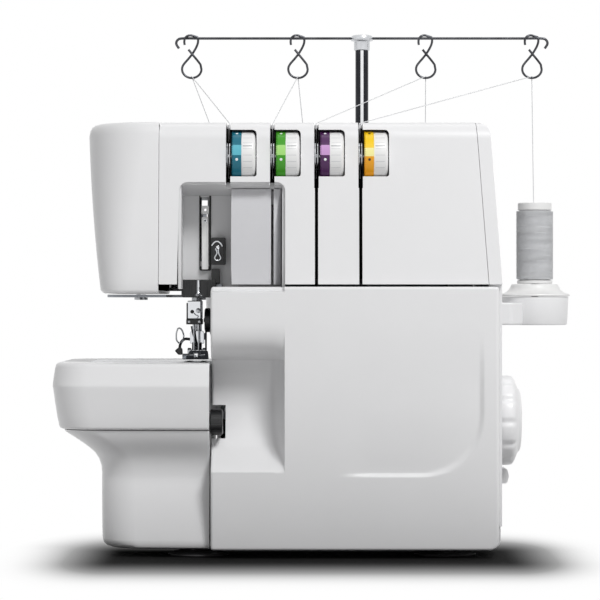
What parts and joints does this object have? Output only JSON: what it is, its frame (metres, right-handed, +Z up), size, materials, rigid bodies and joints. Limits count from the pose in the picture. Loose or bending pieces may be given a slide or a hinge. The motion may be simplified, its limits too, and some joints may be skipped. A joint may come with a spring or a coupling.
{
  "type": "serger overlock sewing machine",
  "caption": "Desktop overlock machine with white casing, coloured tension dials in thread slots, extension table, scooped looper cover, rear spool stand and telescopic thread guide bar.",
  "frame": {"origin": "on the table top, under the middle of the machine's bounding box", "axes": "+Z up, the operator's side faces -Y, the hand wheel is on +X and the extension table on -X"},
  "size_m": [0.3694, 0.224, 0.3711],
  "materials": {
    "white_shell": "gloss",
    "grey_plastic": "satin",
    "black_plastic": "gloss",
    "rubber_black": "matte",
    "cast_alloy": "matte",
    "dark_metal": "satin",
    "bright_steel": "satin",
    "chrome": "polished",
    "guide_wire": "satin",
    "bronze": "satin",
    "dial_blue": "gloss",
    "dial_green": "gloss",
    "dial_purple": "gloss",
    "dial_yellow": "gloss",
    "thread_grey": "satin"
  },
  "bodies": {
    "root": {"base_tray": "white_shell", "rubber_feet": "rubber_black", "main_frame": "cast_alloy", "rear_cover": "white_shell", "right_end_cover": "white_shell", "upper_front_cover": "white_shell", "face_cover": "white_shell", "head_bottom_plate": "dark_metal", "needle_recess": "grey_plastic", "thread_guide_cover": "grey_plastic", "left_base_cover": "white_shell", "free_arm_cover": "white_shell", "needle_plate": "bright_steel", "thread_channels": "black_plastic", "casing_screws": "bright_steel", "power_inlet": "black_plastic", "tension_posts": "bright_steel", "bushes": "bronze", "motor": "dark_metal", "drive_belt": "rubber_black", "spool_stand": "grey_plastic", "spool_pins": "grey_plastic", "spool_felts": "white_shell", "mast_outer_tube": "chrome", "threads": "thread_grey"},
    "table": {"extension_table": "white_shell"},
    "cover_slide_rod": {"cover_hinge_rod": "bright_steel"},
    "looper_cover": {"looper_cover": "white_shell"},
    "main_shaft": {"main_shaft": "bright_steel", "drive_pulley": "black_plastic", "handwheel": "white_shell"},
    "motor_shaft": {"motor_pulley": "bright_steel"},
    "power_switch": {"power_switch": "white_shell"},
    "stitch_length_dial": {"stitch_length_dial": "grey_plastic"},
    "differential_dial": {"differential_dial": "grey_plastic"},
    "cutting_width_knob": {"cutting_width_knob": "black_plastic"},
    "needle_bar": {"needle_bar": "bright_steel", "needle_clamp": "chrome", "needles": "chrome"},
    "take_up": {"take_up_lever": "chrome"},
    "presser_bar": {"presser_bar": "bright_steel", "presser_ankle": "bright_steel"},
    "presser_foot": {"presser_foot": "bright_steel"},
    "presser_lifter": {"presser_lifter": "grey_plastic"},
    "pressure_screw": {"pressure_screw": "grey_plastic"},
    "lower_looper": {"lower_looper": "bright_steel"},
    "upper_looper": {"upper_looper": "bright_steel"},
    "upper_knife": {"knife_arm": "bright_steel", "knife_knob": "black_plastic"},
    "feed_dogs": {"feed_dogs": "bright_steel"},
    "mast": {"mast_inner_tube": "chrome", "thread_guide_bar": "guide_wire"},
    "tension_blue": {"tension_dial_blue": "dial_blue"},
    "tension_green": {"tension_dial_green": "dial_green"},
    "tension_purple": {"tension_dial_purple": "dial_purple"},
    "tension_yellow": {"tension_dial_yellow": "dial_yellow"},
    "spool_1": {"spool_1": "thread_grey"},
    "spool_2": {"spool_2": "thread_grey"},
    "spool_3": {"spool_3": "thread_grey"},
    "spool_4": {"spool_4": "thread_grey"}
  },
  "joints": [
    {"name": "table_slide", "type": "slide", "parent": "root", "child": "table", "axis": [-1, 0, 0], "range_m": [0, 0.11]},
    {"name": "cover_slide", "type": "slide", "parent": "root", "child": "cover_slide_rod", "axis": [1, 0, 0], "range_m": [0, 0.008]},
    {"name": "cover_open", "type": "hinge", "parent": "cover_slide_rod", "child": "looper_cover", "pos_m": [0.02, -0.104, 0.016], "axis": [1, 0, 0], "range_deg": [0, 80]},
    {"name": "handwheel_turn", "type": "hinge", "parent": "root", "child": "main_shaft", "pos_m": [0.1, -0.022, 0.089], "axis": [1, 0, 0], "continuous": true},
    {"name": "motor_spin", "type": "hinge", "parent": "root", "child": "motor_shaft", "pos_m": [0.08, 0.012, 0.048], "axis": [1, 0, 0], "continuous": true},
    {"name": "needle_bar_slide", "type": "slide", "parent": "root", "child": "needle_bar", "axis": [0, 0, 1], "range_m": [-0.018, 0.006]},
    {"name": "take_up_slide", "type": "slide", "parent": "root", "child": "take_up", "axis": [0, 0, 1], "range_m": [-0.018, 0.006]},
    {"name": "lifter_turn", "type": "hinge", "parent": "root", "child": "presser_lifter", "pos_m": [-0.087, -0.008, 0.222], "axis": [1, 0, 0], "range_deg": [0, 35]},
    {"name": "presser_bar_slide", "type": "slide", "parent": "root", "child": "presser_bar", "axis": [0, 0, 1], "range_m": [0, 0.006]},
    {"name": "foot_tilt", "type": "hinge", "parent": "presser_bar", "child": "presser_foot", "pos_m": [-0.087, -0.036, 0.138], "axis": [1, 0, 0], "range_deg": [-4, 2.5]},
    {"name": "pressure_screw_turn", "type": "hinge", "parent": "root", "child": "pressure_screw", "pos_m": [-0.087, -0.028, 0.28], "axis": [0, 0, 1], "continuous": true},
    {"name": "lower_looper_swing", "type": "hinge", "parent": "root", "child": "lower_looper", "pos_m": [-0.118, -0.02, 0.1], "axis": [0, 1, 0], "range_deg": [-12, 6]},
    {"name": "upper_looper_swing", "type": "hinge", "parent": "root", "child": "upper_looper", "pos_m": [-0.064, -0.02, 0.098], "axis": [0, 1, 0], "range_deg": [-8, 8]},
    {"name": "knife_swing", "type": "hinge", "parent": "root", "child": "upper_knife", "pos_m": [-0.066, 0, 0.152], "axis": [1, 0, 0], "range_deg": [-8, 3]},
    {"name": "feed_slide", "type": "slide", "parent": "root", "child": "feed_dogs", "axis": [0, 1, 0], "range_m": [-0.0015, 0.0015]},
    {"name": "stitch_length_turn", "type": "hinge", "parent": "root", "child": "stitch_length_dial", "pos_m": [0.123, 0.01, 0.15], "axis": [1, 0, 0], "range_deg": [-120, 120]},
    {"name": "differential_turn", "type": "hinge", "parent": "root", "child": "differential_dial", "pos_m": [0.123, 0.01, 0.124], "axis": [1, 0, 0], "range_deg": [-120, 120]},
    {"name": "cutting_width_turn", "type": "hinge", "parent": "root", "child": "cutting_width_knob", "pos_m": [-0.072, -0.097, 0.091], "axis": [1, 0, 0], "range_deg": [-90, 90]},
    {"name": "power_switch_rock", "type": "hinge", "parent": "root", "child": "power_switch", "pos_m": [0.118, 0.008, 0.0485], "axis": [0, 1, 0], "range_deg": [-6, 6]},
    {"name": "tension_blue_turn", "type": "hinge", "parent": "root", "child": "tension_blue", "pos_m": [-0.0535, -0.088, 0.271], "axis": [1, 0, 0], "range_deg": [-140, 140]},
    {"name": "tension_green_turn", "type": "hinge", "parent": "root", "child": "tension_green", "pos_m": [-0.0237, -0.088, 0.271], "axis": [1, 0, 0], "range_deg": [-140, 140]},
    {"name": "tension_purple_turn", "type": "hinge", "parent": "root", "child": "tension_purple", "pos_m": [0.0061, -0.088, 0.271], "axis": [1, 0, 0], "range_deg": [-140, 140]},
    {"name": "tension_yellow_turn", "type": "hinge", "parent": "root", "child": "tension_yellow", "pos_m": [0.0359, -0.088, 0.271], "axis": [1, 0, 0], "range_deg": [-140, 140]},
    {"name": "mast_slide", "type": "slide", "parent": "root", "child": "mast", "axis": [0, 0, 1], "range_m": [-0.07, 0], "deforming": ["threads"]},
    {"name": "spool_1_spin", "type": "hinge", "parent": "root", "child": "spool_1", "pos_m": [-0.06, 0.086, 0.2], "axis": [0, 0, 1], "continuous": true},
    {"name": "spool_2_spin", "type": "hinge", "parent": "root", "child": "spool_2", "pos_m": [-0.007, 0.086, 0.2], "axis": [0, 0, 1], "continuous": true},
    {"name": "spool_3_spin", "type": "hinge", "parent": "root", "child": "spool_3", "pos_m": [0.0785, 0.086, 0.2], "axis": [0, 0, 1], "continuous": true},
    {"name": "spool_4_spin", "type": "hinge", "parent": "root", "child": "spool_4", "pos_m": [0.1595, 0.086, 0.2], "axis": [0, 0, 1], "continuous": true}
  ],
  "couplings": [
    {"joint": "motor_spin", "follows": "handwheel_turn", "ratio": 4},
    {"joint": "take_up_slide", "follows": "needle_bar_slide", "ratio": 1},
    {"joint": "lifter_turn", "follows": "presser_bar_slide", "rad_per_m": 101.8}
  ]
}
